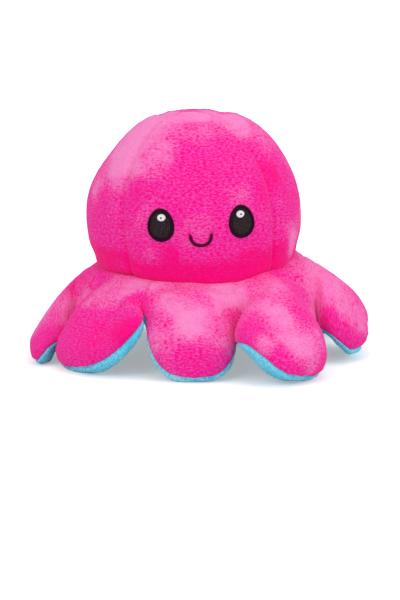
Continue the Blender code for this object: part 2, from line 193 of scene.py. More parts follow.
# the stuffing presses the cloth out: Cloth blows up a coarse copy of grids that share their sides
stuffing = {
    "frames": 20,
    "cloth": {
        "quality": 5,
        "mass": 0.3,
        "air_damping": 5.0,
        "tension_stiffness": 15.0,
        "compression_stiffness": 15.0,
        "bending_stiffness": 0.5,
        "use_pressure": True,
        "uniform_pressure_force": 4.0,
        "shrink_min": -0.02,
        "vertex_group_mass": "held",
    },
    # points that fall into one cell of this size are sewn to one
    "cell": 2e-5,
    "cellShift": 0.37,
}


# held marks the points that stay, and loose how much of the moves the others take
def stuffedGrids(grids, held, loose, outside, steps, farthest):
    picked = np.array([grid[::steps[0], ::steps[1]] for grid in grids])
    holds = np.array([held[::steps[0], ::steps[1]]] * len(grids)).ravel()
    cells = np.round(picked.reshape(-1, 3) / stuffing["cell"] + stuffing["cellShift"]).astype(int)
    first, sewn = np.unique(cells, axis=0, return_index=True, return_inverse=True)[1:]
    sewn = sewn.ravel()
    start = picked.reshape(-1, 3)[first]
    rings = [list(dict.fromkeys(ring)) for ring in sewn[ringFaces(picked, outside)].tolist()]
    mesh = bpy.data.meshes.new("stuffing")
    mesh.from_pydata(start.tolist(), [], [ring for ring in rings if len(ring) > 2])
    piece = addObject("stuffing", mesh)
    group = piece.vertex_groups.new(name="held")
    for index, hold in zip(sewn.tolist(), holds.tolist()):
        group.add([index], hold, "REPLACE")
    move = blownUp(piece) - start
    length = np.linalg.norm(move, axis=-1, keepdims=True)
    move = move * np.tanh(length / farthest) * farthest / np.maximum(length, noLength)
    most = float(np.linalg.norm(move, axis=-1).max())
    print("stuffing moves the cloth up to", round(most * 1000, 1), "mm")
    moves = move[sewn].reshape(picked.shape)
    return [grid + spread(spread(share, steps[0], 0), steps[1], 1) * loose[..., None]
            for grid, share in zip(grids, moves)]


def blownUp(piece):
    scene = bpy.context.scene
    cloth = piece.modifiers.new("stuffing", "CLOTH")
    for setting, value in stuffing["cloth"].items():
        setattr(cloth.settings, setting, value)
    cloth.settings.effector_weights.gravity = 0
    cloth.point_cache.frame_start = 1
    cloth.point_cache.frame_end = stuffing["frames"]
    for moment in range(1, stuffing["frames"] + 1):
        scene.frame_set(moment)
    blown = piece.evaluated_get(bpy.context.evaluated_depsgraph_get())
    places = np.empty(len(piece.data.vertices) * 3)
    blown.data.vertices.foreach_get("co", places)
    scene.frame_set(1)
    bpy.data.meshes.remove(piece.data)
    return places.reshape(-1, 3)


# the soft body leans to one side over its feet: it turns about a point inside the head
lean = {"turn": math.radians(3.5), "middleHeight": 0.075, "feetHeight": 0.030}


def leaned(points):
    share = np.clip(points[..., 2] / lean["feetHeight"], 0, 1)
    above = points[..., 2] - lean["middleHeight"]
    sideways = points[..., 0] * math.cos(lean["turn"]) - above * math.sin(lean["turn"])
    turn = lean["turn"] * share**2 * (3 - 2 * share)
    height = lean["middleHeight"] + above * np.cos(turn) + points[..., 0] * np.sin(turn)
    return np.stack([sideways, points[..., 1], height], axis=-1)


# points of one piece that are closer than this become one
sewnDistance = 1e-6


def meshFromGrid(name, points, maps, outside):
    faces = gridFaces(points, outside)
    mesh = bpy.data.meshes.new(name)
    mesh.from_pydata(leaned(points).reshape(-1, 3).tolist(), [], faces.tolist())
    for label, places in maps.items():
        layer = mesh.uv_layers.new(name=label)
        layer.data.foreach_set("uv", places.reshape(-1, 2)[faces.ravel()].astype(np.float32).ravel())
    builder = bmesh.new()
    builder.from_mesh(mesh)
    bmesh.ops.remove_doubles(builder, verts=builder.verts, dist=sewnDistance)
    builder.to_mesh(mesh)
    builder.free()
    mesh.shade_smooth()
    return addObject(name, mesh)


# where a hand has stroked the pile, and where painted shade and painted light fall: the place and how
# far the mark reaches in millimetres, and its level from -1, pressed flat and deep in colour, to 1,
# raised and pale. The deep marks low on the head by the neck's crease and on the low sides of the
# tentacles are painted shade, and the pale marks on the crown, the upper left and the tentacles' tops
# are partly painted light
strokesAndShades = (
    (-2, -53, 119, 17, -0.3),
    (-41, -29, 126, 19, 1),
    (-25, -13, 140, 20, 1),
    (-56.7, -15, 107, 10, 0.7),
    (-40, -44, 98, 13, -0.05),
    (-55, -29, 93, 12, 0),
    (-21, -42.5, 126.5, 11, 0.62),
    (5, -15, 143, 13, 0.95),
    (24.7, -12, 142, 11, 0.95),
    (25, -32, 132, 12, 0.2),
    (26.5, -24, 136.5, 10, 0.8),
    (33, -42, 118, 13, 0.05),
    (27, -56, 103, 11, 0.45),
    (35, -49, 103, 7, -0.6),
    (56, -25, 97, 19, -0.4),
    (57, -16, 108, 9, 0.45),
    (55.6, -29, 67.1, 11, 0.55),
    (-10, -62, 100, 14, -0.25),
    (-36, -51, 74, 10, 0),
    (-33, -49, 107, 9, -0.45),
    (18, -43, 127, 9, -0.1),
    (23, -53, 112, 8, -0.1),
    (39, -49.5, 96, 9, -0.6),
    (58.5, -18.9, 101.7, 8, 0.15),
    (55.6, -26.4, 65, 10, 0.8),
    (45, -38, 107, 10, -0.75),
    (-18, 6, 143, 18, 0.9),
    (-18.5, -59.9, 68, 8, -0.85),
    (30, -54, 65, 9, -0.8),
    (43.9, -40.5, 60, 9, -0.85),
    (-45.4, -37.7, 63.5, 9, -0.85),
    (-30, -54.5, 69, 6, 0.3),
    (-0.5, -63.5, 85, 12, 0.32),
    (-5, -77, 44, 12, 0.4),
    (-19, -74, 44, 11, 0.75),
    (-10.4, -88, 34, 13, 1),
    (-10, -99, 12, 11, -0.4),
    (6, -93, 22, 14, 0.55),
    (3, -97, 13, 9, 0.15),
    (-31, -84, 26, 10, 0.6),
    (-39, -63.3, 41.2, 8, -0.3),
    (-62, -72, 28, 18, -0.5),
    (-48, -81, 31, 10, -0.95),
    (-66, -45, 42, 10, 0.6),
    (-78.5, -25.3, 31.6, 9, 0.6),
    (-54, -45, 49, 14, 0.55),
    (-70, -18, 40, 13, 0.75),
    (-90, -8, 28, 21, 0.65),
    (16.2, -74.5, 32.5, 8, 0.2),
    (40, -88, 35, 16, 0.8),
    (55, -85, 33, 9, 0),
    (49, -103, 20, 17, 0.8),
    (28, -112, 23, 10, 0.65),
    (62, -91.5, 21.5, 7, 0.6),
    (40, -66, 46, 12, 0.65),
    (74, -29, 40, 18, 0.72),
    (72.3, -47.2, 20, 8, -0.6),
    (85.1, -44.8, 13, 7, -0.4),
    (83, -39, 29, 12, 0.7),
    (94, -33, 21, 11, 0.65),
    (102, -15, 20, 13, 0.45),
)
strokeEdges = {
    "lumpSize": 0.011,
    "lumpShifts": (0.7, 5.1, 9.4),
    "wander": 0.0045,
    "patchSize": 0.030,
    "patchShift": 2.6,
    "patchLevel": 0.75,
}


# the level of the pile at each point, with the painted shade and painted light of the marks above in
# it
def strokeAndShadeLevel(points, base):
    edges = strokeEdges
    lumps = [softNoise(points, edges["lumpSize"], shift) for shift in edges["lumpShifts"]]
    places = points + np.stack(lumps, axis=-1) * edges["wander"]
    patches = softNoise(points, edges["patchSize"], edges["patchShift"])
    level = base + patches * edges["patchLevel"]
    for x, y, z, reach, aim in strokesAndShades:
        middle = np.array((x, y, z)) / 1000
        away = np.linalg.norm(places - middle, axis=-1) / (reach / 1000)
        level = mix(level, aim, np.exp(-away**3))
    return np.clip(level, -1, 1)


# the sides that neighbours in a ring share get the same values in both, down to a row
def joinSides(grids, rows):
    for index, grid in enumerate(grids):
        following = grids[(index + 1) % len(grids)]
        shared = (grid[:rows, -1] + following[:rows, 0]) / 2
        grid[:rows, -1] = shared
        following[:rows, 0] = shared


# how the pile, the seams and the stuffing shape the cloth
clothFinish = {
    "seamGroove": 0.0007,
    "seamGrooveWidth": 0.0020,
    "seamTuck": 0.0008,
    "seamTuckWidth": 0.0005,
    "puckerDepth": 0.00022,
    "puckerSpacing": 0.0075,
    "puckerReach": 0.007,
    "puckerStart": 0.001,
    "puckerWander": 2.0,
    "wanderSize": 0.02,
    "wanderShift": 3.3,
    "lumpDepth": 0.0006,
    "lumpSize": 0.028,
    "lumpShift": 7.1,
    "lumpStart": 0.004,
    "pileDepth": 0.00016,
    "pileSize": 0.0026,
    "pileShift": 1.7,
    "narrowest": 0.012,
    "unsewn": 0.05,
}


# seams names the sides of the grid that are sewn: left, right, first and last. Where sideSeam
# is 0 the left and right sides run on into the next piece without a seam. The level given before the
# strokes is that of the pile and of its painted shade and painted light, and seamDepth makes the seams
# stronger or weaker
def clothPiece(name, points, seams, outside, material, keepFlat=0.0, normals=None,
               sideSeam=1.0, pileAndShade=0.0, seamDepth=1.0):
    finish = clothFinish
    normals = gridNormals(points) * outside if normals is None else normals
    across = runLengths(points, 1)
    along = runLengths(points, 0)
    unsewn = (1 - sideSeam) * finish["unsewn"]
    distances = {
        "left": across + unsewn,
        "right": across[:, -1:] - across + unsewn,
        "first": along,
        "last": along[-1:] - along,
    }
    distance = np.min([distances[side] for side in seams], axis=0)
    middle = points.shape[1] // 2
    uv = np.stack([across - across[:, middle:middle + 1],
                   np.repeat(along[:, middle:middle + 1], points.shape[1], axis=1)], axis=-1)
    groove = finish["seamGroove"] * np.exp(-(distance / finish["seamGrooveWidth"]) ** 2)
    tuck = finish["seamTuck"] * np.exp(-distance / finish["seamTuckWidth"])
    wander = softNoise(points, finish["wanderSize"], finish["wanderShift"]) * finish["puckerWander"]
    ripple = np.sin(uv[..., 1] * math.tau / finish["puckerSpacing"] + wander)
    fade = np.exp(-distance / finish["puckerReach"]) * (1 - np.exp(-distance / finish["puckerStart"]))
    sewing = finish["puckerDepth"] * ripple * fade - groove - tuck
    narrow = np.clip(across[:, -1:] / finish["narrowest"], 0, 1)
    lumps = softNoise(points, finish["lumpSize"], finish["lumpShift"]) * finish["lumpDepth"]
    calm = (1 - keepFlat) * (1 - np.exp(-(distance / finish["lumpStart"]) ** 2))
    pile = softNoise(points, finish["pileSize"], finish["pileShift"]) * finish["pileDepth"]
    lift = sewing * seamDepth * narrow + lumps * calm + pile
    moved = points + normals * lift[..., None]
    moved[..., 2] = np.maximum(moved[..., 2], 0)
    # the level of the pile with its painted shade and painted light goes to the material through a map
    # of its own
    level = (strokeAndShadeLevel(points, pileAndShade) + 1) / 2
    maps = {"cloth": uv, "stroke": np.stack([level, np.zeros_like(level)], axis=-1)}
    piece = meshFromGrid(name, moved, maps, outside)
    piece.data.materials.append(material)
    return piece, moved


def feed(tree, socket, value):
    if isinstance(value, bpy.types.NodeSocket):
        tree.links.new(value, socket)
    else:
        socket.default_value = value


def addNode(tree, kind, inputs, **settings):
    node = tree.nodes.new("ShaderNode" + kind)
    for setting, value in settings.items():
        setattr(node, setting, value)
    for label, value in inputs.items():
        feed(tree, node.inputs[label], value)
    return node


def addMath(tree, operation, *values):
    return addNode(tree, "Math", dict(enumerate(values)), operation=operation).outputs[0]


def addRange(tree, value, fromLow, fromHigh, toLow, toHigh):
    inputs = {"Value": value, "From Min": fromLow, "From Max": fromHigh, "To Min": toLow,
              "To Max": toHigh}
    return addNode(tree, "MapRange", inputs, interpolation_type="SMOOTHSTEP").outputs["Result"]


def addNoise(tree, vector, stretch, detail, distortion=0.0):
    place = addNode(tree, "Mapping", {"Vector": vector, "Scale": stretch}).outputs["Vector"]
    inputs = {"Vector": place, "Scale": 1.0, "Detail": detail, "Distortion": distortion}
    return addNode(tree, "TexNoise", inputs).outputs["Fac"]


# inputs 6 and 7 and output 2 of a mix node are its colours
def addMix(tree, share, first, second):
    return addNode(tree, "Mix", {"Factor": share, 6: first, 7: second}, data_type="RGBA").outputs[2]


def addBump(tree, height, distance, strength):
    inputs = {"Height": height, "Distance": distance, "Strength": strength}
    return addNode(tree, "Bump", inputs).outputs["Normal"]


def mapPlace(tree, name):
    return addNode(tree, "UVMap", {}, uv_map=name).outputs["UV"]


# a node group that gives a colour and a normal, with its own colours and numbers as inputs
def openGroup(name, colours, numbers):
    group = bpy.data.node_groups.new(name, "ShaderNodeTree")
    for label in colours:
        group.interface.new_socket(name=label, in_out="INPUT", socket_type="NodeSocketColor")
    for label in numbers:
        group.interface.new_socket(name=label, in_out="INPUT", socket_type="NodeSocketFloat")
    group.interface.new_socket(name="Color", in_out="OUTPUT", socket_type="NodeSocketColor")
    group.interface.new_socket(name="Normal", in_out="OUTPUT", socket_type="NodeSocketVector")
    given = group.nodes.new("NodeGroupInput").outputs
    return group, given, group.nodes.new("NodeGroupOutput").inputs


# short brushed pile: the strokes with ragged edges, which also carry painted shade and painted light,
# knitted rows under it and single tufts
pileGrain = {
    "smudges": {"stretch": (110, 170, 140), "detail": 3.0, "distortion": 0.5},
    "rows": {"stretch": (500, 1050, 760), "detail": 3.0, "distortion": 0.4},
    "tufts": {"stretch": (1300, 1900, 1600), "detail": 1.0},
    "raggedness": 0.30,
    "downLevels": (0.62, 0.16),
    "upLevels": (0.64, 1.16),
    "grainFromUp": (0.3, 1.0, 1.0, 0.18),
    "darkRows": (0.56, 0.37),
    "brightRows": (0.48, 0.68),
    "brightFromDown": (0.0, 1.0, 0.20, 0.05),
    "rowRelief": 0.7,
    "tuftRelief": 0.3,
    "bumpDistance": 0.0010,
    "bumpStrength": 0.8,
}


def makePileShadeGroup():
    grain = pileGrain
    group, given, result = openGroup("brushedPileAndShade", ("Pressed and shaded", "Rest", "Raised and lit"), ())
    place = mapPlace(group, "cloth")
    stroke = addNode(group, "SeparateXYZ", {0: mapPlace(group, "stroke")}).outputs["X"]
    smudges = addNoise(group, place, **grain["smudges"])
    rows = addNoise(group, place, **grain["rows"])
    tufts = addNoise(group, place, **grain["tufts"])
    level = addMath(group, "MULTIPLY_ADD", smudges, grain["raggedness"], stroke)
    down = addRange(group, level, *grain["downLevels"], 0.0, 1.0)
    up = addRange(group, level, *grain["upLevels"], 0.0, 1.0)
    # deep colour for pressed pile and painted shade, pale colour for raised pile and painted light
    shade = addMix(group, down, given["Rest"], given["Pressed and shaded"])
    shade = addMix(group, up, shade, given["Raised and lit"])
    depth = addRange(group, up, *grain["grainFromUp"])
    dark = addRange(group, rows, *grain["darkRows"], 0.0, 1.0)
    bright = addRange(group, rows, *grain["brightRows"], 0.0, 1.0)
    bright = addMath(group, "MULTIPLY", bright, addRange(group, down, *grain["brightFromDown"]))
    shade = addMix(group, addMath(group, "MULTIPLY", dark, depth), shade, given["Pressed and shaded"])
    shade = addMix(group, addMath(group, "MULTIPLY", bright, depth), shade, given["Raised and lit"])
    relief = addMath(group, "MULTIPLY", tufts, grain["tuftRelief"])
    relief = addMath(group, "MULTIPLY_ADD", rows, grain["rowRelief"], relief)
    normal = addBump(group, relief, grain["bumpDistance"], grain["bumpStrength"])
    feed(group, result["Color"], shade)
    feed(group, result["Normal"], normal)
    return group


# satin stitches: threads side by side across the cloth coordinates
threadGrain = {
    "waver": {"stretch": (900, 300, 500), "detail": 1.0},
    "plies": {"stretch": (2500, 700, 1500), "detail": 2.0},
    "shineFromPlies": (0.35, 0.65, 0.2, 1.0),
    "ridgeRelief": 0.7,
    "plyRelief": 0.3,
    "bumpDistance": 0.00016,
    "bumpStrength": 0.9,
}


def makeThreadGroup():
    grain = threadGrain
    group, given, result = openGroup("satinThread", ("Thread", "Shadow"), ("Pitch",))
    place = mapPlace(group, "cloth")
    across = addNode(group, "SeparateXYZ", {0: place}).outputs["X"]
    waver = addNoise(group, place, **grain["waver"])
    count = addMath(group, "ADD", addMath(group, "DIVIDE", across, given["Pitch"]), waver)
    ridge = addMath(group, "SINE", addMath(group, "MULTIPLY", count, math.tau))
    ridge = addRange(group, ridge, -1.0, 1.0, 0.0, 1.0)
    plies = addNoise(group, place, **grain["plies"])
    shine = addMath(group, "MULTIPLY", ridge, addRange(group, plies, *grain["shineFromPlies"]))
    relief = addMath(group, "MULTIPLY", plies, grain["plyRelief"])
    relief = addMath(group, "MULTIPLY_ADD", ridge, grain["ridgeRelief"], relief)
    normal = addBump(group, relief, grain["bumpDistance"], grain["bumpStrength"])
    feed(group, result["Color"], addMix(group, shine, given["Shadow"], given["Thread"]))
    feed(group, result["Normal"], normal)
    return group


pileShadeGroup = makePileShadeGroup()
threadGroup = makeThreadGroup()


def makeMaterial(name, group, effectInputs, shaderInputs):
    material = bpy.data.materials.new(name)
    material.use_nodes = True
    tree = material.node_tree
    effect = tree.nodes.new("ShaderNodeGroup")
    effect.node_tree = group
    shader = tree.nodes["Principled BSDF"]
    feed(tree, shader.inputs["Base Color"], effect.outputs["Color"])
    feed(tree, shader.inputs["Normal"], effect.outputs["Normal"])
    for node, inputs in ((effect, effectInputs), (shader, shaderInputs)):
        for label, value in inputs.items():
            node.inputs[label].default_value = value
    return material


# the deep colour stands for pressed pile and painted shade, the pale one for raised pile and painted
# light, with the tint of each sheen
plushLooks = {
    "pinkPlush": {
        "down": (0.94, 0.0, 0.225, 1),
        "rest": (0.88, 0.026, 0.375, 1),
        "up": (0.90, 0.26, 0.580, 1),
        "sheenTint": (1.0, 0.45, 0.75, 1),
    },
    "bluePlush": {
        "down": (0.09, 0.56, 0.80, 1),
        "rest": (0.19, 0.73, 0.92, 1),
        "up": (0.42, 0.87, 0.97, 1),
        "sheenTint": (0.70, 0.92, 1.0, 1),
    },
}
plushSurface = {
    "Roughness": 0.95,
    "Specular IOR Level": 0.12,
    "Sheen Weight": 0.16,
    "Sheen Roughness": 0.40,
}


def makePlush(name):
    look = plushLooks[name]
    pile = {"Pressed and shaded": look["down"], "Rest": look["rest"], "Raised and lit": look["up"]}
    surface = {**plushSurface, "Sheen Tint": look["sheenTint"]}
    return makeMaterial(name, pileShadeGroup, pile, surface)


threadSpecular = 0.10
threadLooks = {
    "blackThread": {"thread": (0.062, 0.040, 0.049, 1), "shadow": (0.004, 0.002, 0.003, 1),
                    "pitch": 0.00070, "roughness": 0.60},
    "rimThread": {"thread": (0.040, 0.0, 0.018, 1), "shadow": (0.012, 0.0, 0.005, 1),
                  "pitch": 0.00050, "roughness": 0.60},
    "burgundyThread": {"thread": (0.14, 0.0, 0.044, 1), "shadow": (0.060, 0.0, 0.019, 1),
                       "pitch": 0.00050, "roughness": 0.60},
    "whiteThread": {"thread": (0.98, 0.97, 0.98, 1), "shadow": (0.86, 0.84, 0.87, 1),
                    "pitch": 0.00036, "roughness": 0.55},
    # painted shade: the grey of the hole in the middle of each glint, where its stitches meet
    "glintHoleShade": {"thread": (0.16, 0.14, 0.17, 1), "shadow": (0.10, 0.08, 0.11, 1),
                   "pitch": 0.00036, "roughness": 0.55},
    "navyThread": {"thread": (0.016, 0.034, 0.13, 1), "shadow": (0.004, 0.009, 0.04, 1),
                   "pitch": 0.00040, "roughness": 0.42},
}


def makeThread(name):
    look = threadLooks[name]
    stitches = {"Thread": look["thread"], "Shadow": look["shadow"], "Pitch": look["pitch"]}
    surface = {"Roughness": look["roughness"], "Specular IOR Level": threadSpecular}
    return makeMaterial(name, threadGroup, stitches, surface)


pinkPlush = makePlush("pinkPlush")
bluePlush = makePlush("bluePlush")
threads = {name: makeThread(name) for name in threadLooks}
print("materials made")


# the stuffed head: four panels that meet at the crown and tuck in at the neck
headShape = {
    "radius": 0.0630,
    "widestHeight": 0.0845,
    "topHeight": 0.1442,
    "bluntness": 0.95,
    "flatTop": 0.20,
    "flatPower": 8,
    "lipRadius": 0.0595,
    "creaseRadius": 0.0550,
    "creaseHeight": 0.0560,
    "lipRise": 0.0042,
    "lipRoll": 0.007,
    "lipStart": 0.38,
    "frontDip": 0.0080,
    "dipAzimuth": math.radians(15),
    "dipPower": 4.5,
    "valleyDepth": 0.0006,
    "valleyWidth": 0.0060,
    "panels": ("front", "right", "back", "left"),
    "columns": 80,
    "rows": 110,
    "stuffingSteps": (5, 5),
    "stuffingFarthest": 0.0012,
    "heldSteps": 3,
    "pileAndLightLevel": 0.08,
    # painted shade: how much deeper the head's colour gets just above the neck's crease, under its
    # overhang, and how far up that reaches
    "creaseShade": 1.4,
    "creaseShadeHeight": 0.016,
}
# uneven stuffing stays off the face
faceZone = {"halfWidth": 0.040, "middleHeight": 0.084, "halfHeight": 0.020, "edge": 1.6}

# uneven stuffing: a place on the head, how far the hollow or bulge reaches, how far it goes out
headLumps = (
    ((-0.056, 0.004, 0.131), 0.024, -0.0039),
    ((0.040, -0.004, 0.137), 0.024, 0.0019),
    ((0.030, 0.045, 0.125), 0.024, -0.0020),
    ((-0.030, 0.052, 0.110), 0.022, 0.0016),
    ((-0.045, -0.042, 0.066), 0.020, -0.0010),
)


def creaseHeight(azimuth):
    turn = azimuth - headShape["dipAzimuth"]
    dip = ((1 + np.cos(turn)) / 2) ** headShape["dipPower"]
    return headShape["creaseHeight"] - headShape["frontDip"] * dip


def seamValley(azimuth, radius):
    gore = math.tau / len(headShape["panels"])
    turn = (azimuth + gore / 2) % gore
    distance = radius * np.minimum(turn, gore - turn)
    pull = np.exp(-(distance / headShape["valleyWidth"]) ** 2)
    return headShape["valleyDepth"] * pull * radius / headShape["radius"]


def headPoints(azimuth, share):
    shape = headShape
    dome = shape["radius"] * math.pi / 2
    wall = shape["widestHeight"] - shape["creaseHeight"] - shape["lipRise"]
    place = share * (dome + wall + shape["lipRoll"])
    lipHeight = creaseHeight(azimuth) + shape["lipRise"]
    angle = np.clip(place / dome, 0, 1) * math.pi / 2
    drop = np.clip((place - dome) / wall, 0, 1)
    height = shape["widestHeight"] + (shape["topHeight"] - shape["widestHeight"]) * np.cos(angle)
    height = height - (shape["widestHeight"] - lipHeight) * drop
    bluntness = shape["bluntness"] - shape["flatTop"] * np.cos(angle) ** shape["flatPower"]
    radius = shape["radius"] * np.sin(angle) ** bluntness
    radius = radius - (shape["radius"] - shape["lipRadius"]) * drop**2
    start = shape["lipStart"]
    turn = mix(start, math.pi / 2, np.clip((place - dome - wall) / shape["lipRoll"], 0, 1))
    tuck = (math.cos(start) - np.cos(turn)) / math.cos(start)
    sink = (np.sin(turn) - math.sin(start)) / (1 - math.sin(start))
    radius = radius - (shape["lipRadius"] - shape["creaseRadius"]) * tuck
    height = height - shape["lipRise"] * sink
    points = atAzimuth(radius - seamValley(azimuth, radius), azimuth, height)
    outward = points - np.array([0, 0, shape["widestHeight"]])
    outward = outward / np.linalg.norm(outward, axis=-1, keepdims=True)
    lift = np.zeros(points.shape[:2])
    for middle, reach, out in headLumps:
        away = np.linalg.norm(points - np.array(middle), axis=-1) / reach
        lift += out * np.exp(-away**2)
    return points + outward * lift[..., None]


def makeHead():
    shape = headShape
    half = math.pi / len(shape["panels"])
    share = np.linspace(0, 1, shape["rows"] + 1)[:, None]
    turns = [2 * half * index + np.linspace(-half, half, shape["columns"] + 1)[None, :]
             for index in range(len(shape["panels"]))]
    grids = [headPoints(turn, share) for turn in turns]
    held = np.zeros(grids[0].shape[:2])
    held[:, [0, -1]] = 1
    held[-shape["heldSteps"] * shape["stuffingSteps"][0]:] = 1
    grids = stuffedGrids(grids, held, np.ones(held.shape), 1, shape["stuffingSteps"],
                         shape["stuffingFarthest"])
    normals = [gridNormals(points) for points in grids]
    joinSides(normals, len(held))
    sewnGrids = []
    for side, turn, points, normal in zip(shape["panels"], turns, grids, normals):
        keepFlat = 0.0
        if side == "front":
            sideways = np.abs(points[..., 0]) / faceZone["halfWidth"]
            above = np.abs(points[..., 2] - faceZone["middleHeight"]) / faceZone["halfHeight"]
            keepFlat = np.clip(faceZone["edge"] - np.maximum(sideways, above), 0, 1)
        # painted shade: deep colour in a band just above the neck's crease
        above = (points[..., 2] - creaseHeight(turn)) / shape["creaseShadeHeight"]
        pileAndShade = shape["pileAndLightLevel"] - shape["creaseShade"] * np.exp(-above**4)
        name = "head" + side.capitalize() + "Cloth"
        piece, sewn = clothPiece(name, points, ("left", "right", "last"), 1, pinkPlush,
                                 keepFlat, normal, pileAndShade=pileAndShade, seamDepth=0.9)
        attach(piece, toyBody)
        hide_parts("head_" + side + "_panel", "head_filling")
        sewnGrids.append(sewn)
    return sewnGrids


headGrids = makeHead()
print("head made")


# the skirt and the tentacles that grow out of it, pink above and blue below
tentacleShape = {
    "turn": math.radians(-7),
    "foldRadius": 0.0700,
    "foldHeight": 0.0490,
    "underHeight": 0.0205,
    "length": 0.0300,
    "halfWidth": 0.0272,
    "creaseTuck": 0.0025,
    "creasePuff": 0.0030,
    "valleyPower": 3.0,
    "webThickness": 0.02,
    "mouthRadius": 0.0330,
    "mouthHeight": 0.0460,
    "flarePower": 0.8,
    "bendReach": 0.022,
    "columns": 56,
    "skirtRows": 18,
    "rows": 54,
    "stuffingSteps": (3, 4),
    "stuffingFarthest": 0.0022,
    "heldRows": 4,
    "sewingRows": 4,
    "calmRows": 12,
    # painted light and painted shade: the pale level of the skirt's top, which faces up, how much
    # deeper the colour gets toward the tips, and the share of the length that stays pale
    "pileAndLightLevel": 0.42,
    "shadeTowardTips": 0.75,
    "paleShare": 0.2,
    "underPileLevel": 0.1,
    # from the fold to the tip: top out and up, underside out and up, half width, seam height
    "stations": (
        (0.000, 1.000, 0.000, 1.000, 1.000, 0.50),
        (0.215, 0.905, 0.285, 0.740, 1.020, 0.46),
        (0.455, 0.780, 0.385, 0.480, 1.000, 0.42),
        (0.675, 0.640, 0.475, 0.230, 0.970, 0.38),
        (0.850, 0.490, 0.565, 0.040, 0.900, 0.34),
        (0.960, 0.345, 0.665, -0.024, 0.785, 0.31),
        (1.000, 0.210, 0.762, -0.024, 0.620, 0.30),
        (0.985, 0.110, 0.850, 0.020, 0.380, 0.34),
    ),
    "tip": (0.932, 0.047),
}

# in their order round the body: length against the others, width to the left and right of the
# middle and more of it at the shoulders, how far the seam rises on those sides, the roll of the
# tip in degrees, how far the tip leans sideways and how far it rises off the floor, how far the
# notch on the right hangs below the seam's middle, and the tip's width against the others
tentacleTraits = ("length", "widen", "shoulders", "seamRise", "roll", "lean", "tipRise",
                  "notchDrop", "tipWidth")
tentacles = {
    "front": (0.95, (0.95, 0.93), (0.03, 0.0), (0.004, 0.003), 0.0, 0.0, 0.0, 0.014, 0.84),
    "front_right": (1.55, (1.36, 0.90), (0.10, -0.20), (0.008, 0.0), -14.0, -0.026, 0.0, 0.016, 1.0),
    "right": (1.02, (1.34, 1.0), (0.06, 0.0), (-0.003, 0.0), -4.0, 0.0, 0.0075, 0.003, 0.95),
    "back_right": (0.99, (1.0, 0.97), (0.02, 0.0), (0.001, 0.002), -3.0, 0.001, 0.0, 0.001, 0.95),
    "back": (1.00, (0.98, 1.0), (0.0, 0.02), (0.003, 0.001), 2.0, 0.0, 0.0, 0.004, 0.9),
    "back_left": (1.01, (1.0, 1.0), (0.02, 0.0), (0.0, 0.002), 3.0, -0.001, 0.0, 0.0, 1.0),
    "left": (0.98, (1.0, 1.24), (0.0, 0.0), (0.0, 0.003), -4.0, 0.036, 0.0, 0.015, 0.95),
    "front_left": (1.08, (1.10, 1.28), (0.0, 0.14), (0.0, 0.008), 12.0, 0.002, 0.0, -0.004, 0.90),
}
tentacles = {name: dict(zip(tentacleTraits, values)) for name, values in tentacles.items()}
# how strongly these work at the fold and at each station after it
notchFade = (1.0, 0.8, 0.5, 0.25, 0.1, 0.0, 0.0, 0.0)
seamRiseShares = (0.0, 0.4, 0.8, 1.0, 1.0, 0.8, 0.5, 0.2)
shoulderFade = (0.0, 0.8, 1.0, 0.6, 0.2, 0.0, 0.0, 0.0)


def tentacleAzimuth(index):
    return tentacleShape["turn"] + index * math.tau / len(tentacles)


# places across a tentacle from -1 to 1, closer together at its sides
def placesAcross():
    return np.sin(np.linspace(-1, 1, tentacleShape["columns"] + 1) * math.pi / 2)


# how far the seam hangs at its two ends, for each place across
def seamDrop(index, swing):
    drops = [tentacle["notchDrop"] for tentacle in tentacles.values()]
    return np.where(swing < 0, drops[index - 1], drops[index])


# lines across the skirt from the neck's crease, or from the pocket's mouth, to the fold
def skirtLine(index, share, swing, side):
    shape = tentacleShape
    half = math.pi / len(tentacles)
    turn = np.arctan(swing * math.tan(half))
    edge = shape["foldRadius"] / np.cos(turn)
    web = shape["webThickness"]
    swell = np.sqrt(1 - (1 - web**2) * swing**2)
    azimuth = tentacleAzimuth(index) + turn
    thick = (shape["foldHeight"] - shape["underHeight"]) / 2
    soft = np.sin(swing * math.pi / 2) ** 2
    depth = mix(soft, 1 - swell, share**6) * share ** shape["valleyPower"]
    drop = seamDrop(index, swing)
    if side > 0:
        radius = mix(headShape["creaseRadius"] - shape["creaseTuck"], edge, share)
        height = mix(creaseHeight(azimuth), shape["foldHeight"], share) - (thick + drop) * depth
        height = height + shape["creasePuff"] * math.sin(math.pi * share**0.6)
    else:
        radius = mix(shape["mouthRadius"], edge, share)
        flare = share ** shape["flarePower"]
        height = mix(shape["mouthHeight"], shape["underHeight"], flare)
        height = height + (thick - drop) * depth
    return np.stack([radius * np.sin(turn), radius * np.cos(turn), height], axis=-1)


